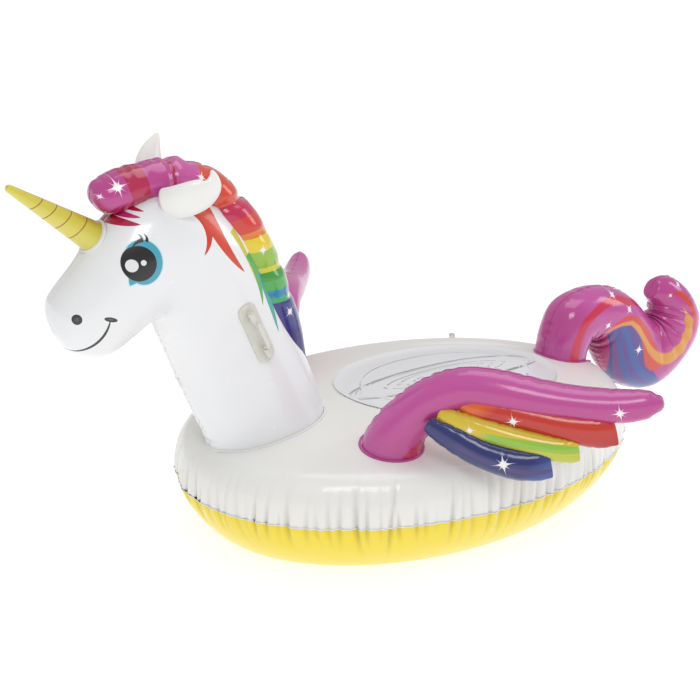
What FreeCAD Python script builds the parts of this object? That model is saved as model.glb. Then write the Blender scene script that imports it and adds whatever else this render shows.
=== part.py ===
import FreeCAD, Part
import math
import os
from FreeCAD import Placement, Rotation, Vector

# A ride-on inflatable float: an oval hull with a crowned deck, a horse-shaped neck and head with a horn,
# a wavy mane, two feathered wings and a curled tail. +Z is up, the head points to -X, the left side of
# the animal is -Y. The origin is the middle of the flat of the hull's underside. Millimetres.

os.makedirs("parts", exist_ok=True)
doc = FreeCAD.newDocument("rideOnFloat")

# ---------------------------------------------------------------- driving dimensions
sheet = doc.addObject("Spreadsheet::Sheet", "dims")
DIMENSIONS = {
    "filmWall": 2.4,        # stand-in wall of the vinyl film
    "hullHalfLength": 616, "hullHalfWidth": 453,
    "seamHeight": 153, "shoulderHeight": 265, "crownHeight": 303, "footInset": 120, "shoulderInset": 89,
    "seamBand": 3, "seamLip": 1.6,
    "seatMiddle": 118, "seatHalfLength": 312, "seatHalfWidth": 122, "seatDrop": 9, "seatBand": 4,
    "webWall": 1.5, "webHalfWidth": 88, "webFirst": -75, "webStep": 128, "webPort": 32,
    "weldWidth": 5, "weldHeight": 4,
    "hornRootRadius": 33, "hornTipRadius": 8, "hornLength": 196,
    "sleeveRadius": 7, "sleeveLength": 20, "gripRadius": 4.5, "gripRise": 19, "gripSpan": 112,
    "pivotGap": 0.4, "flexGap": 1.2, "wingPivotRadius": 88, "tailPivotRadius": 84,
    "valveFlange": 19, "valveStem": 7, "valveBore": 4.6, "valveRise": 17, "valveFoot": 12, "plugCap": 8.5,
    "airPort": 12,
}
for row, (name, value) in enumerate(DIMENSIONS.items(), start=1):
    sheet.set(f"A{row}", name)
    sheet.set(f"B{row}", str(value))
    sheet.setAlias(f"B{row}", name)
doc.recompute()


def size(name):
    return float(getattr(sheet, name))


WALL = size("filmWall")
UP = Vector(0, 0, 1)
SIDE = Vector(0, 1, 0)
FAR = 3000.0            # reach of a cutting block, past the whole float
nodes = {}              # node name -> document object


# ---------------------------------------------------------------- helpers
def keep(name, obj):
    """Names the object as one piece of the float."""
    obj.Label = name
    nodes[name] = obj
    return obj


def piece(name, shape):
    """A piece whose free-form skin no primitive gives."""
    obj = doc.addObject("Part::Feature", name)
    obj.Shape = shape
    return keep(name, obj)


def ring(centre, across, halfAcross, side, halfSide, count=20, blunt=2.0):
    """Closed smooth outline round a centre: a superellipse with half sizes along two directions."""
    points = []
    for k in range(count):
        angle = 2 * math.pi * k / count
        c, s = math.cos(angle), math.sin(angle)
        a = halfAcross * math.copysign(abs(c) ** (2 / blunt), c)
        b = halfSide * math.copysign(abs(s) ** (2 / blunt), s)
        points.append(centre + across * a + side * b)
    curve = Part.BSplineCurve()
    curve.interpolate(points, True)
    return Part.Wire([curve.toShape()])


def skin(wires):
    """Solid through a run of outlines."""
    return Part.makeLoft(wires, True, False)


def block(low, high):
    return Part.makeBox(high.x - low.x, high.y - low.y, high.z - low.z, low)


def rod(start, direction, radius, length):
    return Part.makeCylinder(radius, length, start, direction)


# ---------------------------------------------------------------- hull
# Half section as (inset from the widest outline, height), from the seam up over the shoulder to the crown,
# and from the seam down round the chine to the flat underside.
def shoulderPoint(t, bluntness=2.7):
    rise = size("shoulderHeight") - size("seamHeight")
    return (size("shoulderInset") * (1 - (1 - t ** bluntness) ** (1 / bluntness)), size("seamHeight") + rise * t)


def crownPoint(t):
    reach = size("hullHalfWidth") - size("shoulderInset")
    lift = size("crownHeight") - size("shoulderHeight")
    return (size("shoulderInset") + reach * t, size("shoulderHeight") + lift * (1 - (1 - t) ** 2))


def chinePoint(t, bluntness=1.45):
    drop = size("seamHeight")
    return (size("footInset") * (1 - (1 - t ** bluntness) ** (1 / bluntness)), drop * (1 - t))


TOP_PROFILE = [shoulderPoint(t) for t in (0, 0.25, 0.45, 0.6, 0.73, 0.84, 0.92, 0.97)]
TOP_PROFILE += [crownPoint(t) for t in (0.04, 0.12, 0.24, 0.38, 0.55, 0.75)]
BOTTOM_PROFILE = [chinePoint(t) for t in (0, 0.12, 0.26, 0.4, 0.55, 0.7, 0.83, 0.93, 1)]


def hullSolid(profile, inward=0.0):
    """Solid under (or over) a half section, moved inward by a wall thickness."""
    wires = []
    for k, (inset, height) in enumerate(profile):
        before = profile[max(k - 1, 0)]
        after = profile[min(k + 1, len(profile) - 1)]
        di, dz = after[0] - before[0], after[1] - before[1]
        norm = math.hypot(di, dz)
        turn = 1 if profile[-1][1] > profile[0][1] else -1
        i = inset + inward * abs(dz) / norm
        z = height - turn * inward * abs(di) / norm
        if k == 0:
            z = height
        wires.append(ring(Vector(0, 0, z), Vector(1, 0, 0), size("hullHalfLength") - i,
                          SIDE, size("hullHalfWidth") - i, count=28))
    return Part.makeLoft(wires, True, True)


topOuter = hullSolid(TOP_PROFILE)
topInner = hullSolid(TOP_PROFILE, WALL)
bottomOuter = hullSolid(BOTTOM_PROFILE)
bottomInner = hullSolid(BOTTOM_PROFILE, WALL)
hullOuter = topOuter.fuse(bottomOuter)


def ovalPrism(halfLength, halfWidth, low, high, middle=0.0):
    wires = [ring(Vector(middle, 0, z), Vector(1, 0, 0), halfLength, SIDE, halfWidth, count=28)
             for z in (low, high)]
    return Part.makeLoft(wires, True, True)


def above(z):
    return block(Vector(-FAR, -FAR, z), Vector(FAR, FAR, FAR))


def below(z):
    return block(Vector(-FAR, -FAR, -FAR), Vector(FAR, FAR, z))


seamTop = size("seamHeight") + size("seamBand") / 2
seamLow = size("seamHeight") - size("seamBand") / 2
seatOpening = ovalPrism(size("seatHalfLength"), size("seatHalfWidth"), 200, 400, size("seatMiddle"))
seatInside = ovalPrism(size("seatHalfLength") - size("seatBand"), size("seatHalfWidth") - size("seatBand"),
                       200, 400, size("seatMiddle"))
sunk = Vector(0, 0, -size("seatDrop"))

# Where each limb stands on the deck, for the air port through the film below it.
WING_ROOT = Vector(-238, -255, 0)
TAIL_ROOT = Vector(525, 0, 0)
portPlaces = [WING_ROOT, Vector(WING_ROOT.x, -WING_ROOT.y, 0), TAIL_ROOT]

# The hull valve sits on the far rear shoulder, clear of the rider and of the limbs.
HULL_VALVE = (Vector(365, 275, 195), Vector(0.41, 0.63, 0.66))
NECK_VALVE = (Vector(-438, 100, 372), Vector(0.0, 1, 0.12))


# ---------------------------------------------------------------- neck and head
halfBand = 1.0           # half width of the welded edge along the middle of the head and the tail

# Chords across the flat outline of the neck and head, from the deck up the neck, over the poll and down to
# the muzzle: (front x, front z, back x, back z, half thickness sideways).
HEAD_CHORDS = [
    (-560, 235, -262, 235, 96), (-573, 290, -268, 296, 97), (-602, 356, -290, 376, 94),
    (-634, 436, -322, 452, 92), (-662, 506, -362, 532, 92), (-682, 552, -408, 640, 93),
    (-690, 572, -458, 748, 97), (-697, 572, -545, 838, 102), (-706, 565, -645, 868, 104),
    (-722, 556, -728, 850, 102), (-752, 544, -792, 798, 94), (-792, 531, -836, 741, 84),
    (-832, 530, -874, 702, 74), (-868, 546, -900, 674, 60), (-890, 572, -909, 655, 40),
    (-904, 600, -911, 634, 14),
]


def chordRing(chord, inward=0.0):
    frontX, frontZ, backX, backZ, half = chord
    front, back = Vector(frontX, 0, frontZ), Vector(backX, 0, backZ)
    across = back - front
    length = across.Length
    across.normalize()
    return ring((front + back) * 0.5, across, length / 2 - inward, SIDE, half - inward, blunt=2.15)


closeUp = 0.75           # the head's hollow stops this far along the last stretch of the muzzle
shortChord = tuple(a + (b - a) * closeUp for a, b in zip(HEAD_CHORDS[-2], HEAD_CHORDS[-1]))
headOuter = skin([chordRing(chord) for chord in HEAD_CHORDS])
headInner = skin([chordRing(chord, WALL) for chord in HEAD_CHORDS[:-1] + [shortChord]])
headFilm = headOuter.cut(headInner).cut(hullOuter)


def leftOf(y):
    return block(Vector(-FAR, -FAR, -FAR), Vector(FAR, y, FAR))


def rightOf(y):
    return block(Vector(-FAR, y, -FAR), Vector(FAR, FAR, FAR))


def deckBead(outer, grown):
    """Weld bead standing on the deck round the foot of a limb."""
    raised = topOuter.copy()
    raised.translate(Vector(0, 0, size("weldHeight")))
    return grown.common(raised).cut(outer).cut(hullOuter)


# ---------------------------------------------------------------- limbs in an upright plane
def station(origin, heading, along, up, offset=0.0):
    """Point of an upright plane that starts at origin and runs along heading, moved out of it by offset."""
    outward = heading.cross(UP)
    return origin + heading * along + UP * up + outward * offset


def limbSolid(origin, heading, stations, offset=0.0, inward=0.0, blunt=2.0):
    """Tube through stations (along, up, half height in the plane, half thickness across it)."""
    outward = heading.cross(UP)
    last = len(stations) - 1
    wires = []
    for k, (along, up, halfHeight, halfThick) in enumerate(stations):
        before, after = stations[max(k - 1, 0)], stations[min(k + 1, last)]
        tangent = heading * (after[0] - before[0]) + UP * (after[1] - before[1])
        tangent.normalize()
        centre = station(origin, heading, along, up, offset)
        if k == last:
            centre -= tangent * inward
        wires.append(ring(centre, tangent.cross(outward), halfHeight - inward, outward, halfThick - inward,
                          count=16, blunt=blunt))
    return skin(wires)


def limbFilm(origin, heading, stations, offset=0.0):
    outer = limbSolid(origin, heading, stations, offset)
    return outer, outer.cut(limbSolid(origin, heading, stations, offset, WALL))


# ---------------------------------------------------------------- wings (left wing first, the right mirrored)
WING_HEADING = Vector(0.618, -0.786, 0)
WING_HEADING.normalize()
SPAR = [
    (-8, 225, 72, 64), (0, 268, 72, 63), (14, 312, 62, 58), (45, 357, 54, 53), (83, 395, 50, 50),
    (130, 424, 48, 48), (177, 439, 45, 46), (243, 438, 45, 46), (308, 432, 42, 44), (378, 429, 38, 42),
    (447, 430, 37, 40), (503, 435, 36, 36), (548, 446, 29, 26), (577, 453, 8, 7),
]
FEATHERS = {     # stations and how far each feather stands out of the spar's plane
    "red": ([(132, 412, 8, 8), (160, 404, 15, 18), (200, 396, 20, 23), (300, 388, 23, 26), (380, 379, 26, 26),
             (440, 372, 29, 22), (474, 373, 17, 14), (488, 375, 5, 4)], 20),
    "yellow": ([(88, 382, 7, 7), (120, 370, 13, 14), (200, 357, 19, 22), (300, 342, 21, 25), (365, 332, 21, 22),
                (402, 332, 13, 14), (415, 333, 4, 4)], 38),
    "blue": ([(72, 362, 7, 7), (104, 343, 13, 12), (165, 324, 22, 20), (217, 309, 29, 25), (284, 295, 33, 27),
              (331, 296, 26, 22), (354, 299, 12, 11), (362, 300, 4, 4)], 55),
}
WING_PIVOT = station(WING_ROOT, WING_HEADING, 0, 293)
wingOut = WING_HEADING.cross(UP)

sparOuter, sparFilm = limbFilm(WING_ROOT, WING_HEADING, SPAR)
sparGrown = limbSolid(WING_ROOT, WING_HEADING, SPAR[:5], inward=-size("weldWidth"))
sparFilm = sparFilm.cut(hullOuter)
wingStubBarrel = rod(WING_PIVOT - wingOut * 150, wingOut, size("wingPivotRadius"), 300)
wingFlexBarrel = rod(WING_PIVOT - wingOut * 150, wingOut, size("wingPivotRadius") + size("flexGap"), 300)

leftWing = {
    "root": sparFilm.common(wingStubBarrel),
    "root_weld": deckBead(sparOuter, sparGrown),
    "spar": sparFilm.cut(wingFlexBarrel),
}
feathersAbove = []       # each feather is trimmed where it would press into the one above it
for colour, (stations, offset) in FEATHERS.items():
    outer, film = limbFilm(WING_ROOT, WING_HEADING, stations, offset)
    film = film.cut(sparOuter).cut(wingFlexBarrel)
    for upper in feathersAbove:
        film = film.cut(upper)
    feathersAbove.append(outer)
    leftWing[f"{colour}_feather"] = film

for part, shape in leftWing.items():
    left = piece(f"wing_left_{part}", shape)
    right = doc.addObject("Part::Mirroring", f"wing_right_{part}")
    right.Source = left
    right.Normal = SIDE
    keep(f"wing_right_{part}", right)

# ---------------------------------------------------------------- tail
TAIL_CHORDS = [      # (outer x, outer z, inner x, inner z, half thickness)
    (448, 235, 600, 235, 70), (449, 275, 600, 262, 70), (462, 345, 606, 279, 72), (505, 421, 614, 287, 74),
    (600, 448, 622, 287, 74), (690, 436, 632, 272, 75), (762, 400, 645, 238, 77), (822, 344, 672, 196, 78),
    (850, 318, 738, 140, 78), (860, 314, 848, 102, 77), (868, 318, 945, 132, 76), (874, 325, 1028, 210, 74),
    (878, 337, 1050, 280, 70), (877, 348, 1034, 333, 64), (870, 359, 988, 392, 55), (860, 368, 926, 430, 42),
    (846, 378, 872, 428, 24),
]
tailOuter = skin([chordRing(chord) for chord in TAIL_CHORDS[:5]])
tailGrown = skin([chordRing(chord, -size("weldWidth")) for chord in TAIL_CHORDS[:4]])
TAIL_PIVOT = Vector(380, 0, 288)
tailStubReach = 235      # the stub's barrel ends just past the inner bend
tailStubBarrel = rod(TAIL_PIVOT, Vector(1, 0, 0), size("tailPivotRadius"), tailStubReach)
tailFlexBarrel = rod(TAIL_PIVOT, Vector(1, 0, 0), size("tailPivotRadius") + size("flexGap"),
                     tailStubReach + size("flexGap"))


def chordCrescent(chord, hand, count=12):
    """Section of the film on one side of a chord: an outer and an inner half oval closed by its two edges."""
    frontX, frontZ, backX, backZ, half = chord
    front, back = Vector(frontX, 0, frontZ), Vector(backX, 0, backZ)
    across, middle = back - front, (front + back) * 0.5
    length = across.Length
    across.normalize()
    curves = []
    for inward in (0, WALL):
        points = [middle + across * ((length / 2 - inward) * math.cos(math.pi * k / count))
                  + SIDE * (hand * (halfBand + (half - inward - halfBand) * math.sin(math.pi * k / count)))
                  for k in range(count + 1)]
        curve = Part.BSplineCurve()
        curve.interpolate(points)
        curves.append((curve.toShape(), points))
    (outer, outerEnds), (inner, innerEnds) = curves
    edges = [outer, Part.makeLine(outerEnds[-1], innerEnds[-1]), inner, Part.makeLine(innerEnds[0], outerEnds[0])]
    return Part.Wire(Part.__sortEdges__(edges))


tailSides = {}
for name, hand in (("left", -1), ("right", 1)):
    wires = [chordCrescent(chord, hand) for chord in TAIL_CHORDS]
    tailSides[name] = Part.makeLoft(wires, True, True).cut(hullOuter)
piece("tail_root_weld", deckBead(tailOuter, tailGrown).cut(tailSides["left"]).cut(tailSides["right"]))
for name, film in tailSides.items():
    piece(f"tail_{name}_root", film.common(tailStubBarrel))
    piece(f"tail_{name}_panel", film.cut(tailFlexBarrel))

# ---------------------------------------------------------------- horn
HORN_ROOT = Vector(-806, 0, 783)
hornWay = Vector(-160, 0, 116)
hornWay.normalize()
hornBury = 40            # the cone starts inside the forehead and is trimmed to it


def hornCone(name, grow, length):
    """Cone of the horn's taper, wider or narrower by grow."""
    cone = doc.addObject("Part::Cone", name)
    taper = "(dims.hornRootRadius - dims.hornTipRadius) / dims.hornLength"
    cone.setExpression("Radius1", f"dims.hornRootRadius + {hornBury} * {taper} + {grow}")
    cone.setExpression("Radius2", f"dims.hornTipRadius + (dims.hornLength - {length}) * {taper} + {grow}")
    cone.setExpression("Height", f"{length} + {hornBury}")
    cone.Placement = Placement(HORN_ROOT - hornWay * hornBury, Rotation(UP, hornWay))
    return cone


hornSkin = hornCone("hornSkin", 0, "dims.hornLength")
hornHollow = hornCone("hornHollow", "(-dims.filmWall)", "dims.hornLength")
hornTip = doc.addObject("Part::Sphere", "hornTip")
hornTip.setExpression("Radius", "dims.hornTipRadius")
hornTip.Placement = Placement(HORN_ROOT + hornWay * size("hornLength"), Rotation())
hornBeadCone = hornCone("hornBeadCone", "dims.weldWidth", "24")
headSolid = doc.addObject("Part::Feature", "headSolid")
headSolid.Shape = headOuter
raisedHead = headOuter.copy()
raisedHead.translate(hornWay * size("weldHeight"))
doc.recompute()
hornBody = hornSkin.Shape.fuse(hornTip.Shape)
piece("horn_cone", hornBody.cut(hornHollow.Shape).cut(headOuter))
piece("horn_root_weld", hornBeadCone.Shape.common(raisedHead).cut(hornBody).cut(headOuter))

# ---------------------------------------------------------------- mane
MANE = [
    (-798, 846, 14, 14), (-786, 853, 34, 40), (-760, 864, 42, 52), (-712, 876, 43, 55), (-668, 882, 42, 54),
    (-634, 884, 44, 54), (-596, 868, 37, 46), (-556, 836, 42, 48), (-508, 800, 42, 47), (-462, 762, 46, 50),
    (-434, 706, 40, 44), (-408, 654, 42, 43), (-388, 596, 36, 38), (-366, 540, 36, 36), (-344, 478, 30, 30),
    (-322, 424, 16, 20), (-310, 398, 4, 6),
]
manePlane = (Vector(0, 0, 0), Vector(1, 0, 0))
maneOuter, maneFilm = limbFilm(*manePlane, MANE)
maneFilm = maneFilm.cut(headOuter)
piece("mane_left_panel", maneFilm.common(leftOf(-halfBand / 2)))
piece("mane_right_panel", maneFilm.common(rightOf(halfBand / 2)))

# ---------------------------------------------------------------- ears, the left one folded back
EARS = {      # centre, half height, half thickness, from the head to the tip
    "left": [((-668, -58, 848), 27, 20), ((-648, -84, 856), 28, 18), ((-618, -104, 864), 24, 15),
             ((-590, -114, 880), 14, 10), ((-570, -114, 896), 3, 3)],
    "right": [((-640, 52, 872), 36, 20), ((-640, 70, 898), 34, 18), ((-630, 80, 926), 24, 13),
              ((-616, 85, 950), 11, 7), ((-610, 86, 962), 3, 2.5)],
}


def earSolid(stations, inward=0.0):
    wires = []
    for k, (place, wide, thick) in enumerate(stations):
        before, after = stations[max(k - 1, 0)][0], stations[min(k + 1, len(stations) - 1)][0]
        tangent = Vector(*after) - Vector(*before)
        tangent.normalize()
        side = tangent.cross(Vector(0, -1, 0))
        side.normalize()
        wires.append(ring(Vector(*place), side, wide - inward, side.cross(tangent), thick - inward, count=16))
    return skin(wires)


for name, stations in EARS.items():
    film = earSolid(stations).cut(earSolid(stations[:-1], WALL))
    piece(f"ear_{name}", film.cut(headOuter).cut(maneOuter))

# ---------------------------------------------------------------- valves, each made upright and then set in place
def fixed(kind, name, place=None, **sizes):
    """Part primitive whose properties are bound to the sheet."""
    obj = doc.addObject(f"Part::{kind}", name)
    for prop, rule in sizes.items():
        obj.setExpression(prop, str(rule))
    if place is not None:
        obj.Placement = place
    return obj


def lifted(z, x=0.0, y=0.0):
    return Placement(Vector(x, y, z), Rotation())


def less(name, base, tool):
    obj = doc.addObject("Part::Cut", name)
    obj.Base, obj.Tool = base, tool
    return obj


def joined(name, shapes):
    obj = doc.addObject("Part::MultiFuse", name)
    obj.Shapes = shapes
    return obj


flangeLip = 0.8          # the flange stands this much proud of the film
slack = 0.5              # between the sliding foot and its flange


def valve(name, place):
    """Flange, push-in stem with its flap, pull-out plug and the strap that keeps the plug."""
    rim = fixed("Cylinder", name + "Rim", lifted(-WALL), Radius="dims.valveFlange",
                Height=f"dims.filmWall + {flangeLip}")
    well = fixed("Cylinder", name + "Well", lifted(-WALL - 1), Radius=f"dims.valveFoot + {slack}", Height=10)
    flange = less(name + "Flange", rim, well)
    foot = fixed("Cylinder", name + "Foot", lifted(-1.2), Radius="dims.valveFoot", Height=2)
    pipe = fixed("Cylinder", name + "Pipe", lifted(-1.2), Radius="dims.valveStem", Height="dims.valveRise + 1.2")
    bore = fixed("Cylinder", name + "Bore", lifted(-3), Radius="dims.valveBore", Height="dims.valveRise + 8")
    stem = less(name + "Stem", joined(name + "FootAndPipe", [foot, pipe]), bore)
    flap = fixed("Cylinder", name + "Flap", lifted(-0.8), Radius="dims.valveBore - 0.1", Height=0.7)
    shank = fixed("Cylinder", name + "Shank", lifted(6), Radius="dims.valveBore - 0.1",
                  Height="dims.valveRise - 4")
    cap = fixed("Cylinder", name + "Cap", lifted(size("valveRise") + 0.3), Radius="dims.plugCap", Height=2.6)
    plug = joined(name + "Plug", [shank, cap])
    loop = fixed("Cylinder", name + "Loop", lifted(2.2), Radius="dims.valveStem + 1.8", Height=1.6)
    eye = fixed("Cylinder", name + "Eye", lifted(1), Radius="dims.valveStem", Height=5)
    strap = fixed("Box", name + "Strap", lifted(2.2, size("valveStem") + 1.4, -2), Length=1.4, Width=4,
                  Height="dims.valveRise + 0.6")
    strap.setExpression("Placement.Base.x", "dims.plugCap + 0.6")
    arm = fixed("Box", name + "Arm", lifted(2.2, size("valveStem") + 1, -2), Length="dims.plugCap - dims.valveStem",
                Width=4, Height=1.6)
    tether = less(name + "Tether", joined(name + "LoopAndStrap", [loop, strap, arm]), eye)
    made = {"flange": flange, "stem": stem, "flap": flap, "plug": plug, "tether": tether}
    for part, obj in made.items():
        obj.Placement = place.multiply(obj.Placement) if part == "flap" else place
        keep(f"{name}_valve_{part}", obj)


def onSkin(solid, near, outward):
    """Point where a line through near, along outward, leaves the solid."""
    way = Vector(outward)
    way.normalize()
    line = Part.makeLine(near - way * 60, near + way * 300)
    inside = solid.common(line)
    return max((v.Point for v in inside.Vertexes), key=lambda p: p.dot(way)), way


hullValveAt, hullValveWay = onSkin(topOuter, *HULL_VALVE)
neckValveAt, neckValveWay = onSkin(headOuter, *NECK_VALVE)
hullValvePlace = Placement(hullValveAt, Rotation(UP, hullValveWay))
neckValvePlace = Placement(neckValveAt, Rotation(UP, neckValveWay))
valve("hull", hullValvePlace)
valve("neck", neckValvePlace)


def valveHole(at, way):
    return rod(at - way * 30, way, size("valveFlange"), 60)


# ---------------------------------------------------------------- hull skins, seat and webs
topFilm = topOuter.cut(topInner).cut(below(seamTop)).cut(seatOpening).cut(valveHole(hullValveAt, hullValveWay))
for place in portPlaces:
    topFilm = topFilm.cut(rod(place + UP * 200, UP, size("airPort"), 200))
piece("hull_top_panel", topFilm)
piece("hull_bottom_panel", bottomOuter.cut(bottomInner).cut(above(seamLow)))

seatSkin = topOuter.cut(topInner)
seatSkin.translate(sunk)
piece("seat_panel", seatSkin.common(seatInside))
bandFloor = topInner.copy()
bandFloor.translate(sunk)
piece("seat_weld", seatOpening.cut(seatInside).common(topOuter).cut(bandFloor))


def ovalDisc(name, grow, low, height):
    """Flat oval as large as the hull's widest outline, grown by a margin."""
    outline = doc.addObject("Part::Ellipse", name + "Outline")
    outline.setExpression("MajorRadius", f"dims.hullHalfLength + {grow}")
    outline.setExpression("MinorRadius", f"dims.hullHalfWidth + {grow}")
    outline.Placement = lifted(low)
    disc = doc.addObject("Part::Extrusion", name)
    disc.Base, disc.Dir, disc.DirMode, disc.Solid = outline, UP, "Custom", True
    disc.setExpression("LengthFwd", height)
    return disc


seamDisc = ovalDisc("seamDisc", "dims.seamLip", seamLow, "dims.seamBand")
seamVoid = ovalDisc("seamVoid", "(-8)", seamLow - 5, "dims.seamBand + 10")
keep("perimeter_weld", less("perimeterWeld", seamDisc, seamVoid))

seatRoof = doc.addObject("Part::Feature", "seatRoof")
seatRoof.Shape = bandFloor.fuse(bottomInner.common(above(WALL)))
for k in range(4):
    x = size("webFirst") + k * size("webStep")
    sheetBox = fixed("Box", f"webSheet{k + 1}", lifted(WALL, x, -size("webHalfWidth")), Length="dims.webWall",
                     Width="2 * dims.webHalfWidth", Height="dims.crownHeight")
    trimmed = doc.addObject("Part::Common", f"webTrimmed{k + 1}")
    trimmed.Base, trimmed.Tool = sheetBox, seatRoof
    port = fixed("Cylinder", f"webPort{k + 1}", Radius="dims.webPort", Height=40)
    port.Placement = Placement(Vector(x - 20, 0, size("seamHeight")), Rotation(UP, Vector(1, 0, 0)))
    keep(f"seat_web_{k + 1}", less(f"seatWeb{k + 1}", trimmed, port))

# ---------------------------------------------------------------- neck and head panels
gripAlong = Vector(0.39, 0, -0.92)
gripAlong.normalize()
HANDLE_AT = Vector(-484, -108, 543)      # middle of the left handle's swing line
headSkin = headFilm.cut(valveHole(neckValveAt, neckValveWay))
piece("head_left_panel", headSkin.common(leftOf(-halfBand)))
piece("head_right_panel", headSkin.common(rightOf(halfBand)))
piece("head_centre_weld", headFilm.common(block(Vector(-FAR, -halfBand, -FAR), Vector(FAR, halfBand, FAR))))
neckGrown = skin([chordRing(chord, -size("weldWidth")) for chord in HEAD_CHORDS[:3]])
piece("neck_base_weld", deckBead(headOuter, neckGrown))

# ---------------------------------------------------------------- handles, the left one first
patchPad = 3.0           # how far the patch stands off the neck's film
padOutline = headOuter.copy()
padOutline.translate(Vector(0, -patchPad, 0))
patchTurn = Rotation(UP, gripAlong)
patchBlock = Part.makeBox(46, 60, size("gripSpan") + 34)
patchBlock.Placement = Placement(HANDLE_AT + patchTurn.multVec(Vector(-23, -20, -size("gripSpan") / 2 - 17)),
                                 patchTurn)
patchBlock = patchBlock.makeFillet(18, [e for e in patchBlock.Edges
                                        if abs((e.Vertexes[1].Point - e.Vertexes[0].Point).normalize()
                                               .dot(patchTurn.multVec(SIDE))) > 0.99])
patch = patchBlock.common(padOutline).cut(headOuter)
half = size("gripSpan") / 2
footDepth = 26           # each sleeve stands on a foot that reaches into the pad
pinHole = size("gripRadius") + size("pivotGap")
for end in (-1, 1):
    outer = HANDLE_AT + gripAlong * (end * half)
    sleeve = rod(outer, gripAlong * -end, size("sleeveRadius"), size("sleeveLength"))
    foot = Part.makeBox(2 * size("sleeveRadius") - 4, footDepth, size("sleeveLength"))
    start = HANDLE_AT + gripAlong * (end * half if end < 0 else half - size("sleeveLength"))
    foot.Placement = Placement(start + patchTurn.multVec(Vector(-size("sleeveRadius") + 2, 0, 0)), patchTurn)
    bore = rod(outer - gripAlong * (end * 4), gripAlong * -end, pinHole, size("sleeveLength"))
    patch = patch.fuse(sleeve.fuse(foot).cut(headOuter)).cut(bore)
leftPatch = piece("handle_left_patch", patch.removeSplitter())

outward = Vector(0, -1, 0)
pinEnd = half - 4 - size("pivotGap")          # the pin stops short of the blind end of its sleeve
bendAt = half - size("sleeveLength") - 8
bendSize = 7.0


def gripPath():
    """Pin, bend out, straight rail, bend back, pin."""
    low, high = HANDLE_AT - gripAlong * bendAt, HANDLE_AT + gripAlong * bendAt
    rise = outward * size("gripRise")
    k = bendSize * (1 - math.sqrt(0.5))
    edges = []
    for sign, foot in ((-1, low), (1, high)):
        along = gripAlong * sign
        edges.append([
            Part.makeLine(HANDLE_AT + along * pinEnd, foot + along * bendSize),
            Part.Arc(foot + along * bendSize, foot + along * k + outward * k, foot + outward * bendSize).toShape(),
            Part.makeLine(foot + outward * bendSize, foot + rise - outward * bendSize),
            Part.Arc(foot + rise - outward * bendSize, foot + rise - along * k - outward * k,
                     foot + rise - along * bendSize).toShape(),
        ])
    rail = Part.makeLine(low + rise + gripAlong * bendSize, high + rise - gripAlong * bendSize)
    return Part.Wire(Part.__sortEdges__(edges[0] + [rail] + edges[1]))


path = gripPath()
profile = Part.Wire([Part.makeCircle(size("gripRadius"), HANDLE_AT - gripAlong * pinEnd, gripAlong)])
leftGrip = piece("handle_left_grip", path.makePipeShell([profile], True, False, 2))
for source, name in ((leftPatch, "handle_right_patch"), (leftGrip, "handle_right_grip")):
    right = doc.addObject("Part::Mirroring", name)
    right.Source = source
    right.Normal = SIDE
    keep(name, right)

# ---------------------------------------------------------------- check and write
doc.recompute()
for obj in doc.Objects:
    if "Invalid" in obj.State or "Error" in obj.State:
        raise RuntimeError(f"{obj.Label} did not build: {obj.State}")
for name, obj in nodes.items():
    shape = obj.Shape
    if shape.isNull() or not shape.isValid() or not shape.Solids:
        raise RuntimeError(f"{name} is not a valid solid")
    shape.exportStep(f"parts/{name}.step")
    box = shape.BoundBox
    print(f"{name:26s} solids {len(shape.Solids)}  volume {shape.Volume / 1000:9.2f} cm3"
          f"  x {box.XMin:7.1f} {box.XMax:7.1f}  y {box.YMin:7.1f} {box.YMax:7.1f}  z {box.ZMin:7.1f} {box.ZMax:7.1f}")
for label, at, way in (("hull valve", hullValveAt, hullValveWay), ("neck valve", neckValveAt, neckValveWay),
                       ("wing pivot", WING_PIVOT, wingOut), ("handle line", HANDLE_AT, gripAlong)):
    print(f"{label}: at {tuple(round(c, 3) for c in at)} way {tuple(round(c, 5) for c in way)}")
print(len(nodes), "pieces")
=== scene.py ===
import math
import bmesh
import bpy
import numpy as np
from mathutils import Matrix, Vector


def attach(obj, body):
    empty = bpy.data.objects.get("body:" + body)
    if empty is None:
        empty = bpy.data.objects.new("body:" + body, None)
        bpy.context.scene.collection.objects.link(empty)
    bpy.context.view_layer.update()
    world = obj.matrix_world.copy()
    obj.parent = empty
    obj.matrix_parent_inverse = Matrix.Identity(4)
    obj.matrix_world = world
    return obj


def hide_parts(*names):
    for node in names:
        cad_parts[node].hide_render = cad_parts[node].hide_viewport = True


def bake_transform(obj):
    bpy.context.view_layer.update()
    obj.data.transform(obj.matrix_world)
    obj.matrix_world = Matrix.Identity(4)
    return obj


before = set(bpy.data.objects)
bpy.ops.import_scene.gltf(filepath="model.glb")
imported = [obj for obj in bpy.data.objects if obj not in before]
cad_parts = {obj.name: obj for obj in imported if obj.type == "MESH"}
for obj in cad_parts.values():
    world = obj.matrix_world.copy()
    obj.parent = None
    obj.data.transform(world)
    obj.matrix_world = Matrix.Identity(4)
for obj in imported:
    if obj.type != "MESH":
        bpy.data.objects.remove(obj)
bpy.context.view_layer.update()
mm = 0.001
up = Vector((0, 0, 1))


# ---- helpers for meshes
def deselect():
    if bpy.context.mode != "OBJECT":
        bpy.ops.object.mode_set(mode="OBJECT")
    bpy.ops.object.select_all(action="DESELECT")


def pick(thing):
    deselect()
    thing.select_set(True)
    bpy.context.view_layer.objects.active = thing


def applied(thing, kind, **settings):
    pick(thing)
    modifier = thing.modifiers.new(kind.title(), kind)
    for key, value in settings.items():
        setattr(modifier, key, value)
    bpy.ops.object.modifier_apply(modifier=modifier.name)


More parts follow.
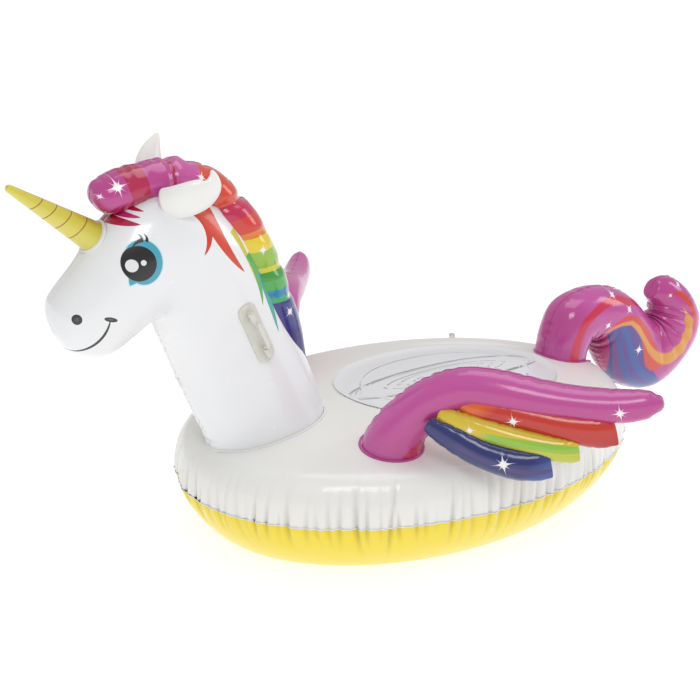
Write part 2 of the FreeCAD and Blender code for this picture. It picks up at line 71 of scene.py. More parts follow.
def blunted(value, bluntness):
    return math.copysign(abs(value) ** (2 / bluntness), value)


def oval(centre, across, side, halfAcross, halfSide, bluntness=2.0):
    return {"centre": Vector(centre) * mm, "across": Vector(across), "side": Vector(side),
            "half": (halfAcross * mm, halfSide * mm), "bluntness": bluntness}


def between(stations, steps):
    # a smooth run of stations: Catmull-Rom between the given ones
    rows = [np.array(s, float) for s in stations]
    rows = [2 * rows[0] - rows[1]] + rows + [2 * rows[-1] - rows[-2]]
    fine = []
    for a, b, c, d in zip(rows, rows[1:], rows[2:], rows[3:]):
        for k in range(steps):
            t = k / steps
            fine.append(0.5 * (2 * b + (c - a) * t + (2 * a - 5 * b + 4 * c - d) * t * t
                               + (3 * b - a - 3 * c + d) * t ** 3))
    return fine + [rows[-2]]


def tube(name, rings, count=24, levels=2, capped=(True, True)):
    # circles bridged one to the next, with attributes: along in metres, lift and side from -1 to 1
    deselect()
    bpy.ops.mesh.primitive_circle_add(vertices=count, radius=0.01)
    made = bpy.context.object
    made.name = made.data.name = name
    bpy.ops.object.mode_set(mode="EDIT")
    bpy.ops.mesh.delete(type="VERT")
    for ring in rings:
        axes = Matrix((ring["across"], ring["side"], ring["across"].cross(ring["side"]))).transposed()
        bpy.ops.mesh.primitive_circle_add(vertices=count, radius=1, location=ring["centre"],
                                          rotation=axes.to_euler())
    cage = bmesh.from_edit_mesh(made.data)
    cage.verts.ensure_lookup_table()
    values = []
    travelled = 0.0
    for k, ring in enumerate(rings):
        if k:
            travelled += (ring["centre"] - rings[k - 1]["centre"]).length
        for vert in cage.verts[k * count:(k + 1) * count]:
            out = vert.co - ring["centre"]
            lift, side = out.dot(ring["across"]), out.dot(ring["side"])
            values.append((travelled, lift, side))
            vert.co = (ring["centre"] + ring["across"] * ring["half"][0] * blunted(lift, ring["bluntness"])
                       + ring["side"] * ring["half"][1] * blunted(side, ring["bluntness"]))
    bmesh.update_edit_mesh(made.data)
    for k in range(len(rings) - 1):
        bpy.ops.mesh.select_all(action="DESELECT")
        cage = bmesh.from_edit_mesh(made.data)
        cage.verts.ensure_lookup_table()
        for vert in cage.verts[k * count:(k + 2) * count]:
            vert.select = True
        cage.select_flush(True)
        bpy.ops.mesh.bridge_edge_loops()
    for wanted, first in zip(capped, (0, (len(rings) - 1) * count)):
        if wanted:
            bpy.ops.mesh.select_all(action="DESELECT")
            cage = bmesh.from_edit_mesh(made.data)
            cage.verts.ensure_lookup_table()
            for vert in cage.verts[first:first + count]:
                vert.select = True
            cage.select_flush(True)
            bpy.ops.mesh.edge_face_add()
    bpy.ops.mesh.select_all(action="SELECT")
    bpy.ops.mesh.normals_make_consistent(inside=False)
    bpy.ops.object.mode_set(mode="OBJECT")
    for column, label in enumerate(("along", "lift", "side")):
        layer = made.data.attributes.new(label, "FLOAT", "POINT")
        layer.data.foreach_set("value", [row[column] for row in values])
    if levels:
        applied(made, "SUBSURF", levels=levels, render_levels=levels)
    bpy.ops.object.shade_smooth()
    return made


def read(thing, label):
    data = thing.data
    if label in ("co", "normal"):
        source = data.vertices if label == "co" else data.vertex_normals
        values = np.empty(len(data.vertices) * 3)
        source.foreach_get("co" if label == "co" else "vector", values)
        return values.reshape(-1, 3)
    values = np.empty(len(data.vertices))
    data.attributes[label].data.foreach_get("value", values)
    return values


def push(thing, distance, way=None):
    # moves every point along its normal, or along a given direction
    way = read(thing, "normal") if way is None else np.array(way)
    moved = read(thing, "co") + way * distance[:, None]
    thing.data.vertices.foreach_set("co", moved.ravel())
    thing.data.update()


def creases(along, away, length, spacing, depth, reach, width, seed, closed=False):
    # sum of short folds that start at a weld and run away from it
    draw = np.random.default_rng(seed)
    count = int(length / spacing)
    total = np.zeros_like(along)
    for k in range(count):
        place = (k + 0.5 + draw.uniform(-0.38, 0.38)) * spacing
        strong = draw.uniform(0.25, 1.0) ** 1.4
        far = reach * draw.uniform(0.45, 1.25)
        narrow = width * draw.uniform(0.75, 1.5)
        lean = draw.uniform(-0.10, 0.10)
        gap = along - place - lean * away
        if closed:
            gap = (gap + length / 2) % length - length / 2
        pleat = np.exp(-(gap / narrow) ** 2) - 0.35 * np.exp(-((np.abs(gap) - 2.1 * narrow) / narrow) ** 2)
        total += depth * strong * pleat * np.exp(-(np.abs(away) / far) ** 2)
    return -total


def mirrored(source, name):
    pick(source)
    bpy.ops.object.duplicate()
    made = bpy.context.object
    made.name = made.data.name = name
    bpy.ops.object.mode_set(mode="EDIT")
    bpy.ops.mesh.select_all(action="SELECT")
    bpy.ops.transform.resize(value=(1, -1, 1), center_override=(0, 0, 0))
    bpy.ops.mesh.normals_make_consistent(inside=False)
    bpy.ops.object.mode_set(mode="OBJECT")
    return made


def seamLine(name, source, where, thickness=0.0013):
    # a welded edge: a thin bead along the points of the source that the test picks
    spots, along = read(source, "co"), read(source, "along")
    chosen = np.where(where(read(source, "lift"), read(source, "side"), along))[0]
    chosen = chosen[np.argsort(along[chosen])]
    points = spots[chosen]
    deselect()
    bpy.ops.curve.primitive_nurbs_path_add()
    made = bpy.context.object
    made.name = made.data.name = name
    spline = made.data.splines[0]
    spline.points.add(len(points) - len(spline.points))
    for spot, place in zip(spline.points, points):
        spot.co = (*place, 1)
    spline.order_u = 3
    spline.use_endpoint_u = True
    made.data.bevel_depth = thickness
    made.data.bevel_resolution = 2
    made.data.use_fill_caps = True
    pick(made)
    bpy.ops.object.convert(target="MESH")
    return made


# ---- helpers for materials
class Wire:
    def __init__(self, paint, socket):
        self.paint, self.socket = paint, socket

    def maths(self, operation, *others):
        return self.paint.node("ShaderNodeMath", {"operation": operation}, (self, *others))

    def __add__(self, other):
        return self.maths("ADD", other)

    def __sub__(self, other):
        return self.maths("SUBTRACT", other)

    def __mul__(self, other):
        return self.maths("MULTIPLY", other)

    def __truediv__(self, other):
        return self.maths("DIVIDE", other)

    def __pow__(self, other):
        return self.maths("POWER", other)

    def __rsub__(self, other):
        return self.paint.node("ShaderNodeMath", {"operation": "SUBTRACT"}, (other, self))

    def __neg__(self):
        return self * -1

    def __abs__(self):
        return self.maths("ABSOLUTE")

    __radd__, __rmul__ = __add__, __mul__

    def clamp(self):
        return self.paint.node("ShaderNodeClamp", {}, (self,))

    def step(self, edge, soft):
        return ((self - edge) / soft + 0.5).clamp()      # 0 below the edge, 1 above it


class Paint:
    def __init__(self, name, **shader):
        self.material = bpy.data.materials.new(name)
        self.material.use_nodes = True
        self.tree = self.material.node_tree
        self.shader = self.tree.nodes["Principled BSDF"]
        for key, value in shader.items():
            self.shader.inputs[key.replace("_", " ")].default_value = value

    def node(self, kind, settings, inputs, output=0):
        made = self.tree.nodes.new(kind)
        for key, value in settings.items():
            if key == "stops":
                ramp = made.color_ramp
                while len(ramp.elements) < len(value):
                    ramp.elements.new(1.0)
                for element, (place, colour) in zip(ramp.elements, value):
                    element.position = place
                    element.color = (*colour, 1)
            else:
                setattr(made, key, value)
        for key, value in (inputs.items() if isinstance(inputs, dict) else enumerate(inputs)):
            if isinstance(value, Wire):
                self.tree.links.new(value.socket, made.inputs[key])
            else:
                made.inputs[key].default_value = value
        return Wire(self, made.outputs[output])

    def attribute(self, label):
        return self.node("ShaderNodeAttribute", {"attribute_name": label}, (), "Fac")

    def place(self):
        return self.node("ShaderNodeTexCoord", {}, (), "Object")

    def axes(self):
        split = self.node("ShaderNodeSeparateXYZ", {}, (self.place(),)).socket.node
        return [Wire(self, split.outputs[k]) for k in range(3)]

    def noise(self, scale, detail=2.0, where=None):
        return self.node("ShaderNodeTexNoise", {}, {"Vector": where or self.place(), "Scale": scale,
                                                    "Detail": detail}, "Fac")

    def mix(self, base, top, mask):
        flat = [c if isinstance(c, Wire) else (*c, 1) for c in (base, top)]
        return self.node("ShaderNodeMix", {"data_type": "RGBA"}, {0: mask, 6: flat[0], 7: flat[1]}, 2)

    def ramp(self, value, stops, smooth="LINEAR"):
        made = self.node("ShaderNodeValToRGB", {"stops": stops}, (value,), "Color")
        made.socket.node.color_ramp.interpolation = smooth
        return made

    def link(self, name, wire):
        self.tree.links.new(wire.socket, self.shader.inputs[name])

    def bump(self, height, strength, distance):
        made = self.node("ShaderNodeBump", {}, {"Height": height, "Strength": strength, "Distance": distance},
                         "Normal")
        self.link("Normal", made)


def ellipse(u, v, centreU, centreV, halfU, halfV, turn=0.0, soft=0.025):
    c, n = math.cos(math.radians(turn)), math.sin(math.radians(turn))
    a = ((u - centreU) * c + (v - centreV) * n) / halfU
    b = ((v - centreV) * c - (u - centreU) * n) / halfV
    reach = (a * a + b * b) ** 0.5
    return ((1 - reach) / soft + 0.5).clamp()


def stroke(u, v, start, middle, end, wide, pointed="end", soft=0.0005):
    # printed brush stroke along the arc through three points, pointed at its end or at both
    (ax, ay), (bx, by), (cx, cy) = start, middle, end
    d = 2 * (ax * (by - cy) + bx * (cy - ay) + cx * (ay - by))
    ox = ((ax * ax + ay * ay) * (by - cy) + (bx * bx + by * by) * (cy - ay)
          + (cx * cx + cy * cy) * (ay - by)) / d
    oy = ((ax * ax + ay * ay) * (cx - bx) + (bx * bx + by * by) * (ax - cx)
          + (cx * cx + cy * cy) * (bx - ax)) / d
    radius = math.hypot(ax - ox, ay - oy)
    heading = math.atan2(by - oy, bx - ox)
    c, n = math.cos(heading), math.sin(heading)
    first, last = ((math.atan2(y - oy, x - ox) - heading + math.pi) % (2 * math.pi) - math.pi
                   for x, y in (start, end))
    forward = (u - ox) * c + (v - oy) * n
    sideways = (v - oy) * c - (u - ox) * n
    t = (sideways.maths("ARCTAN2", forward) - first) / (last - first)
    inside = t.maths("GREATER_THAN", 0.0) * t.maths("LESS_THAN", 1.0)
    shape = (1 - t).clamp() ** 0.7 if pointed == "end" else ((t * (1 - t)).clamp() * 4) ** 0.45
    away = abs((forward * forward + sideways * sideways) ** 0.5 - radius)
    return ((shape * wide - away) / soft + 0.5).clamp() * inside


def sparkle(u, v, centreU, centreV, reach, turn=0.3):
    # eight-pointed glint: long and short rays crossed, each an astroid
    masks = None
    for angle, length in ((turn, reach), (turn + math.pi / 4, reach * 0.72)):
        a = (u - centreU) * (math.cos(angle) / length) + (v - centreV) * (math.sin(angle) / length)
        b = (v - centreV) * (math.cos(angle) / length) - (u - centreU) * (math.sin(angle) / length)
        glint = ((1 - (abs(a) ** 0.36 + abs(b) ** 0.36)) * 9.0).clamp()
        masks = glint if masks is None else masks.maths("MAXIMUM", glint)
    return masks


def vinyl(name, colour=None, ripple=0.25, **shader):
    # glossy calendered film: soft waves in the gloss and a very fine grain
    settings = {"Roughness": 0.24, "Coat_Weight": 0.55, "Coat_Roughness": 0.09, "Specular_IOR_Level": 0.5}
    settings.update(shader)
    if colour:
        settings["Base_Color"] = (*colour, 1)
    paint = Paint(name, **settings)
    waves = paint.noise(9.0, 1.0)
    grain = paint.noise(900.0, 1.0)
    paint.bump(waves * 1.0 + grain * 0.012, ripple, 0.012)
    paint.link("Roughness", settings["Roughness"] - 0.05 + paint.noise(30.0, 3.0) * 0.12)
    return paint


def dress(thing, paint, slot, body, *nodes):
    thing.data.materials.clear()
    thing.data.materials.append(paint.material)
    if body:
        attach(thing, body)
    if nodes:
        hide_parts(*nodes)


colours = {
    "white": (0.87, 0.87, 0.88), "cream": (0.87, 0.86, 0.82), "paleCream": (0.86, 0.86, 0.84),
    # the two crease colours are painted shade, laid into the hull's pleats
    "paintedCreaseShadeGrey": (0.56, 0.55, 0.53), "seat": (0.84, 0.85, 0.875), "yellow": (0.90, 0.71, 0.015),
    "paintedCreaseShadeGold": (0.50, 0.36, 0.005), "crimson": (0.42, 0.006, 0.05), "ink": (0.006, 0.006, 0.007),
    "softInk": (0.030, 0.032, 0.026), "irisRim": (0.62, 0.80, 0.84), "iris": (0.06, 0.36, 0.50),
    "glint": (0.80, 0.82, 0.83),
}

# ---- hull: two films joined at a puckered seam, with a seat let into the deck
hull = {
    "halfLength": 616, "halfWidth": 453, "seam": 153, "shoulder": 265, "shoulderInset": 89, "crown": 303,
    "footInset": 120, "sides": 192, "seamHeight": 1.2, "seamProud": 2.2, "seamBury": 6,
}
pleats = {"spacing": 0.027, "depth": 0.0075, "reach": 0.075, "width": 0.0048, "seed": 5}       # metres
swells = {"spacing": 0.11, "depth": 0.006, "reach": 0.085, "width": 0.020, "seed": 11}
seat = {
    "middle": 118, "halfLength": 312, "halfWidth": 235, "drop": 12, "level": 300, "tuck": 34, "slope": 0.07,
}


def hullRings(profile):
    return [oval((0, 0, z), (1, 0, 0), (0, 1, 0), hull["halfLength"] - inset, hull["halfWidth"] - inset)
            for inset, z in profile]


def shoulderAt(t, bluntness=2.7):
    return (hull["shoulderInset"] * (1 - (1 - t ** bluntness) ** (1 / bluntness)),
            hull["seam"] + (hull["shoulder"] - hull["seam"]) * t)


def deckHeight(inset):
    t = np.clip((inset - hull["shoulderInset"]) / (hull["halfWidth"] - hull["shoulderInset"]), 0, 1)
    return hull["shoulder"] + (hull["crown"] - hull["shoulder"]) * (1 - (1 - t) ** 2)


def insetAt(x, y):
    # how far inside the widest outline a point of the deck lies, in mm
    low, high = np.zeros_like(x), np.full_like(x, hull["halfWidth"] - 1.0)
    for _ in range(30):
        middle = (low + high) / 2
        outside = (x / (hull["halfLength"] - middle)) ** 2 + (y / (hull["halfWidth"] - middle)) ** 2 > 1
        high, low = np.where(outside, middle, high), np.where(outside, low, middle)
    return (low + high) / 2


def seatReach(x, y):
    return np.sqrt(((x - seat["middle"]) / seat["halfLength"]) ** 2 + (y / seat["halfWidth"]) ** 2)


def footAt(t, bluntness=1.45):
    return (hull["footInset"] * (1 - (1 - t ** bluntness) ** (1 / bluntness)), hull["seam"] * (1 - t))


topProfile = [shoulderAt(t) for t in (0, 0.1, 0.22, 0.34, 0.45, 0.55, 0.65, 0.74, 0.82, 0.89, 0.94, 0.975)]
crownSteps = 13
for k in range(1, crownSteps + 1):
    inset = hull["shoulderInset"] + (hull["halfWidth"] - hull["shoulderInset"]) * 0.98 * (k / crownSteps)
    topProfile.append((inset, float(deckHeight(np.array(inset)))))
hullTop = tube("hull_top_film", hullRings(topProfile), hull["sides"], 2, (False, True))
bottomProfile = [footAt(t) for t in (0, 0.08, 0.16, 0.26, 0.36, 0.47, 0.58, 0.7, 0.82, 0.92, 1)]
bottomProfile += [(170, 0), (290, 0), (430, 0)]
hullBottom = tube("hull_bottom_film", hullRings(bottomProfile), hull["sides"], 2, (False, True))


def roundLength(spots):
    # distance round the widest outline, and the outline's whole length
    angle = np.arctan2(spots[:, 1] / hull["halfWidth"], spots[:, 0] / hull["halfLength"])
    table = np.linspace(-math.pi, math.pi, 2000)
    speed = np.hypot(hull["halfLength"] * np.sin(table), hull["halfWidth"] * np.cos(table)) * mm
    run = np.concatenate([[0], np.cumsum((speed[1:] + speed[:-1]) / 2 * (table[1] - table[0]))])
    return np.interp(angle, table, run), run[-1]


def outwards(spots):
    # level directions away from the hull's middle, the same for both films and their seam
    far = np.linalg.norm(spots[:, :2], axis=1)[:, None] + 1e-6
    return np.column_stack([spots[:, :2] / far, np.zeros(len(spots))])


def hullCreases(kind, run, away, whole, scale=1.0):
    return creases(run, away, whole, kind["spacing"], kind["depth"], kind["reach"] * scale, kind["width"],
                   kind["seed"], closed=True)


for film, scale in ((hullTop, 1.0), (hullBottom, 0.72)):
    spots = read(film, "co")
    run, whole = roundLength(spots)
    away = spots[:, 2] - hull["seam"] * mm
    edge = np.where(np.abs(spots[:, 2]) < 0.0015, 0.0, 1.0)          # the flat underside stays flat
    folds = hullCreases(pleats, run, away, whole, scale)
    broad = hullCreases(swells, run, away, whole, scale)
    edge = edge * np.clip((0.118 - away) / 0.045, 0, 1)                # and the deck stays smooth
    push(film, (folds + broad) * edge, outwards(spots))
    # painted crease shade: how deep each point lies in a pleat, from 0 to 1, which darkens the film's colour
    # there
    shade = film.data.attributes.new("fold", "FLOAT", "POINT")
    shade.data.foreach_set("value", np.clip(-folds / pleats["depth"], 0, 1) * edge)
spots = read(hullTop, "co") / mm
reach = seatReach(spots[:, 0], spots[:, 1])
sink = seat["tuck"] * np.clip((1.0 - reach) / seat["slope"], 0, 1)
push(hullTop, -sink * mm * (spots[:, 2] > 250), (0, 0, 1))

seatRings = [oval((seat["middle"], 0, seat["level"]), (1, 0, 0), (0, 1, 0), seat["halfLength"] * q,
                  seat["halfWidth"] * q)
             for q in (1.0, 0.985, 0.965, 0.94, 0.9, 0.82, 0.72, 0.6, 0.46, 0.3, 0.15, 0.05)]
seatFilm = tube("seat_film", seatRings, 96, 2, (False, True))
spots = read(seatFilm, "co") / mm
reach = seatReach(spots[:, 0], spots[:, 1])
rim = [(spots[:, 0] - seat["middle"]) / reach + seat["middle"], spots[:, 1] / reach]
rimHeight = deckHeight(insetAt(*rim))
floorHeight = hull["crown"] - seat["drop"] / 2
shape = floorHeight + (rimHeight + 0.5 - floorHeight) * reach ** 2
shape -= seat["drop"] * 0.7 * np.clip((1 - reach) / seat["slope"], 0, 1) ** 0.8 * reach ** 3
push(seatFilm, (shape - seat["level"]) * mm, (0, 0, 1))

seamRings = [
    oval((0, 0, hull["seam"] + rise), (1, 0, 0), (0, 1, 0), hull["halfLength"] + grow,
         hull["halfWidth"] + grow)
    for rise, grow in ((-hull["seamHeight"], -hull["seamBury"]), (-hull["seamHeight"], hull["seamProud"]),
                       (hull["seamHeight"], hull["seamProud"]), (hull["seamHeight"], -hull["seamBury"]))]
seamRing = tube("hull_seam", seamRings + seamRings[:1], 512, 0, (False, False))
spots = read(seamRing, "co")
run, whole = roundLength(spots)
level = run * 0
push(seamRing, hullCreases(pleats, run, level, whole) + hullCreases(swells, run, level, whole),
     outwards(spots))
applied(seamRing, "WELD", merge_threshold=0.00001)
print("hull done")

whitePaint = vinyl("whiteVinyl", Roughness=0.40)
whiteBase = whitePaint.mix(colours["cream"], colours["paleCream"],
                           whitePaint.noise(3.0, 2.0).step(0.55, 0.35))
# painted shade: the white film turns a dark crease grey where the pleats are deep
whitePaint.link("Base Color", whitePaint.mix(whiteBase, colours["paintedCreaseShadeGrey"],
                                             whitePaint.attribute("fold") * 0.75))
yellowPaint = vinyl("yellowVinyl", Roughness=0.36)
# painted shade: the yellow film turns a darker gold where the pleats are deep
yellowPaint.link("Base Color", yellowPaint.mix(colours["yellow"], colours["paintedCreaseShadeGold"],
                                               yellowPaint.attribute("fold") * 0.75))
seatPaint = vinyl("seatVinyl", colours["seat"], ripple=0.2, Roughness=0.34)
weldPaint = vinyl("weldVinyl", (0.84, 0.84, 0.82), ripple=0.15, Roughness=0.3)
dress(hullTop, whitePaint, "white_film", "float", "hull_top_panel")
dress(hullBottom, yellowPaint, "yellow_film", "float", "hull_bottom_panel")
dress(seatFilm, seatPaint, "seat_film", "float", "seat_panel", "seat_weld")
dress(seamRing, weldPaint, "weld_film", "float", "perimeter_weld")

# ---- neck and head
headChords = [      # front x, front z, back x, back z, half thickness
    (-560, 235, -262, 235, 96), (-573, 290, -268, 296, 97), (-602, 356, -290, 376, 94),
    (-634, 436, -322, 452, 92), (-660, 508, -362, 532, 92), (-678, 556, -408, 640, 93),
    (-685, 578, -458, 748, 97), (-694, 587, -545, 838, 102), (-708, 584, -645, 868, 104),
    (-727, 570, -728, 850, 102), (-754, 551, -792, 798, 94), (-792, 531, -836, 741, 84),
    (-832, 530, -874, 702, 74), (-868, 546, -900, 674, 60), (-890, 572, -909, 655, 40),
    (-904, 600, -911, 634, 14),
]


def chordOval(chord, grow=0.0):
    front, back = Vector((chord[0], 0, chord[1])), Vector((chord[2], 0, chord[3]))
    across = back - front
    return oval((front + back) / 2, across.normalized(), (0, 1, 0), across.length / 2 + grow,
                chord[4] + grow, 2.15)


head = tube("head_film", [chordOval(c) for c in between(headChords, 3)], 28, 2)
along, lift, side = (read(head, label) for label in ("along", "lift", "side"))
width = np.abs(side) * 0.085
front = lift < 0
push(head, creases(along, np.where(front, width, 1.0), 1.3, 0.020, 0.0030, 0.028, 0.0045, 21)
     + creases(along, np.where(front, 1.0, width), 1.3, 0.022, 0.0024, 0.024, 0.0045, 22)
     - 0.0012 * np.exp(-(side / 0.05) ** 2))
headSeams = [seamLine("head_front_seam", head, lambda l, s, a: (np.abs(s) < 1e-3) & (l < 0) & (a > 0.05)),
             seamLine("head_back_seam", head, lambda l, s, a: (np.abs(s) < 1e-3) & (l > 0) & (a > 0.05))]
for seam in headSeams:
    dress(seam, weldPaint, "weld_film", "float", "head_centre_weld")
print("head done")

# ---- limbs that lie in an upright plane
def limb(name, origin, heading, stations, offset=0.0, count=20, steps=3, levels=2, capped=(True, True)):
    origin, heading = Vector(origin), Vector(heading)
    outward = heading.cross(up)
    rows = between(stations, steps)
    rings = []
    for k, (reachOut, rise, halfHeight, halfThick) in enumerate(rows):
        before, after = rows[max(k - 1, 0)], rows[min(k + 1, len(rows) - 1)]
        tangent = (heading * (after[0] - before[0]) + up * (after[1] - before[1])).normalized()
        rings.append(oval(origin + heading * reachOut + up * rise + outward * offset, tangent.cross(outward),
                          outward, max(halfHeight, 2), max(halfThick, 2)))
    return tube(name, rings, count, levels, capped)


wing = {
    "root": (-238, -255, 0), "heading": (0.61809, -0.78611, 0),
    "spar": [
        (-8, 225, 72, 64), (0, 268, 72, 63), (14, 312, 62, 58), (45, 357, 54, 53), (83, 395, 50, 50),
        (130, 424, 48, 48), (177, 439, 45, 46), (243, 438, 45, 46), (308, 432, 42, 44), (378, 429, 38, 42),
        (447, 430, 37, 40), (503, 435, 36, 36), (548, 446, 29, 26), (577, 453, 8, 7),
    ],
    "red": ([(150, 406, 14, 8), (172, 403, 23, 18), (205, 399, 28, 24), (300, 391, 30, 26),
             (380, 381, 33, 26), (440, 376, 35, 21), (474, 376, 30, 11), (489, 379, 24, 2)], 20),
    "yellow": ([(112, 383, 14, 7), (136, 375, 22, 15), (200, 359, 28, 23), (300, 343, 28, 25),
                (370, 334, 28, 20), (402, 333, 25, 10), (418, 335, 20, 2)], 38),
    "blue": ([(92, 364, 16, 6), (118, 350, 24, 12), (165, 330, 31, 20), (217, 310, 33, 25),
              (284, 297, 36, 27), (331, 297, 33, 19), (354, 299, 28, 9), (365, 301, 23, 2)], 55),
}
spar = limb("wing_left_spar_film", wing["root"], wing["heading"], wing["spar"], count=24)
along, lift, side = (read(spar, label) for label in ("along", "lift", "side"))
push(spar, creases(along, np.where(lift > 0, np.abs(side) * 0.05, 1.0), 0.9, 0.02, 0.0022, 0.02, 0.0045, 31)
     + creases(along, np.where(lift < 0, np.abs(side) * 0.05, 1.0), 0.9, 0.022, 0.0026, 0.022, 0.0045, 32))
feathers = {}
for k, colour in enumerate(("red", "yellow", "blue")):
    stations, offset = wing[colour]
    feather = limb(f"wing_left_{colour}_film", wing["root"], wing["heading"], stations, offset, 20, 4)
    along, lift, side = (read(feather, label) for label in ("along", "lift", "side"))
    push(feather, creases(along, np.abs(side) * 0.03, 0.5, 0.02, 0.0018, 0.016, 0.0045, 41 + k))
    feathers[colour] = feather

onTop = lambda l, s, a: (np.abs(s) < 1e-3) & (l < 0)
under = lambda l, s, a: (np.abs(s) < 1e-3) & (l > 0)
sparSeams = [seamLine("wing_left_top_seam", spar, onTop), seamLine("wing_left_low_seam", spar, under)]

# ---- tail
tailChords = [      # outer x, outer z, inner x, inner z, half thickness
    (448, 235, 586, 235, 70), (449, 275, 586, 266, 70), (462, 345, 591, 285, 72), (505, 421, 600, 296, 74),
    (600, 448, 617, 298, 74), (690, 436, 634, 284, 75), (762, 400, 651, 244, 77), (822, 344, 680, 196, 78),
    (850, 318, 738, 140, 78), (860, 314, 848, 102, 77), (868, 318, 945, 132, 76), (874, 325, 1028, 210, 74),
    (878, 337, 1050, 280, 70), (877, 348, 1034, 333, 64), (870, 359, 988, 392, 55), (860, 368, 926, 430, 42),
    (846, 378, 872, 428, 24),
]
tail = tube("tail_film", [chordOval(c) for c in between(tailChords, 4)], 28, 2)
along, lift, side = (read(tail, label) for label in ("along", "lift", "side"))
curlFolds = [(0.500, 0.006), (0.548, 0.008), (0.592, 0.008), (0.640, 0.007), (0.690, 0.004)]
inner = np.clip((0.35 - lift) / 0.7, 0, 1)
folded = sum(-depth * np.exp(-((along - place - 0.01 * np.sin(lift * 3 + k)) / 0.010) ** 2) * inner
             for k, (place, depth) in enumerate(curlFolds))
saddle = sum(-depth * np.exp(-((along - place) / 0.008) ** 2) * np.clip((lift - 0.3) / 0.5, 0, 1)
             for place, depth in ((0.125, 0.004), (0.165, 0.006), (0.200, 0.007), (0.235, 0.006),
                                  (0.270, 0.004)))
push(tail, folded + saddle
     + creases(along, np.where(lift < 0, np.abs(side) * 0.07, 1.0), 0.9, 0.02, 0.0034, 0.022, 0.0048, 51)
     + creases(along, np.where(lift > 0, np.abs(side) * 0.07, 1.0), 0.9, 0.02, 0.0030, 0.022, 0.0048, 52))

tailSeams = [seamLine("tail_outer_seam", tail, onTop), seamLine("tail_inner_seam", tail, under)]

# ---- mane, ears and horn
maneStations = [      # x, z, half height, half thickness
    (-798, 846, 14, 14), (-786, 853, 34, 40), (-760, 864, 42, 52), (-712, 876, 43, 55), (-668, 882, 42, 54),
    (-634, 884, 44, 54), (-592, 874, 40, 50), (-546, 846, 50, 60), (-509, 800, 54, 66), (-477, 750, 61, 72),
    (-455, 699, 62, 72), (-432, 646, 63, 72), (-411, 590, 59, 68), (-385, 532, 54, 62), (-357, 470, 43, 48),
    (-322, 424, 17, 21), (-310, 398, 4, 6),
]
mane = limb("mane_film", (0, 0, 0), (1, 0, 0), maneStations, count=24)
along, lift, side = (read(mane, label) for label in ("along", "lift", "side"))
maneFolds = [(0.110, 0.0025, 0.014), (0.163, 0.006, 0.009), (0.300, 0.010, 0.012), (0.385, 0.003, 0.016),
             (0.472, 0.0055, 0.014), (0.545, 0.004, 0.014)]      # place along, depth, width
slanted = along + 0.022 * lift * (along > 0.25)
folded = sum(-depth * np.exp(-((slanted - place) / narrow) ** 2) for place, depth, narrow in maneFolds)
push(mane, folded + creases(along, np.where(lift < 0, np.abs(side) * 0.045, 1.0), 0.8, 0.017, 0.0028, 0.022,
                            0.0045, 61))
maneSeam = seamLine("mane_seam", mane, onTop, 0.0012)
ears = {
    "left": [((-672, -56, 842), 34, 20), ((-650, -84, 849), 36, 18), ((-616, -105, 862), 35, 15),
             ((-591, -114, 878), 25, 10), ((-586, -115, 898), 11, 6), ((-590, -115, 912), 2.5, 2.5)],
    "right": [((-640, 52, 872), 36, 20), ((-640, 70, 898), 34, 18), ((-630, 80, 926), 24, 13),
              ((-616, 85, 950), 11, 7), ((-610, 86, 962), 3, 2.5)],
}
earFilms = {}
for hand, stations in ears.items():
    rows = between([(*place, wide, thick) for place, wide, thick in stations], 3)
    rings = []
    for k, (x, y, z, wide, thick) in enumerate(rows):
        before, after = rows[max(k - 1, 0)], rows[min(k + 1, len(rows) - 1)]
        tangent = (Vector(after[:3]) - Vector(before[:3])).normalized()
        across = tangent.cross(Vector((0, -1, 0))).normalized()
        rings.append(oval((x, y, z), across, across.cross(tangent), wide, thick))
    earFilms[hand] = tube(f"ear_{hand}_film", rings, 20, 2)

horn = {
    "root": (-806, 0, 783), "way": (-160, 0, 116), "rootRadius": 33, "tipRadius": 8, "length": 196,
    "bury": 40,
}
hornWay = Vector(horn["way"]).normalized()
hornRings = []
for k in range(34):
    far = -horn["bury"] + (horn["length"] + horn["bury"] - 1) * k / 33
    taper = (horn["rootRadius"] - horn["tipRadius"]) / horn["length"]
    radius = horn["rootRadius"] - far * taper
    hornRings.append(oval(Vector(horn["root"]) + hornWay * far, hornWay.cross(Vector((0, 1, 0))), (0, 1, 0),
                          radius, radius))
tip = horn["length"] - 1
for extra, share in ((2.5, 0.93), (4.8, 0.75), (6.6, 0.45), (7.4, 0.15)):
    hornRings.append(oval(Vector(horn["root"]) + hornWay * (tip + extra), hornWay.cross(Vector((0, 1, 0))),
                          (0, 1, 0), horn["tipRadius"] * share, horn["tipRadius"] * share))
hornFilm = tube("horn_film", hornRings, 24, 1)
print("limbs done")

# ---- printed patterns
def profile(t, stops):
    # a number that follows t: stops are (place from 0 to 1, value from 0 to 1)
    made = t.paint.node("ShaderNodeValToRGB", {"stops": [(p, (v, v, v)) for p, v in stops]}, (t,), "Color")
    return made


def stars(paint, base, u, v, list_, colour=(0.93, 0.90, 0.92)):
    mask = None
    for k, (centreU, centreV, reach) in enumerate(list_):
        one = sparkle(u, v, centreU, centreV, reach * 1.45, 0.25 + 0.4 * k)
        mask = one if mask is None else mask.maths("MAXIMUM", one)
    return paint.mix(base, colour, mask)


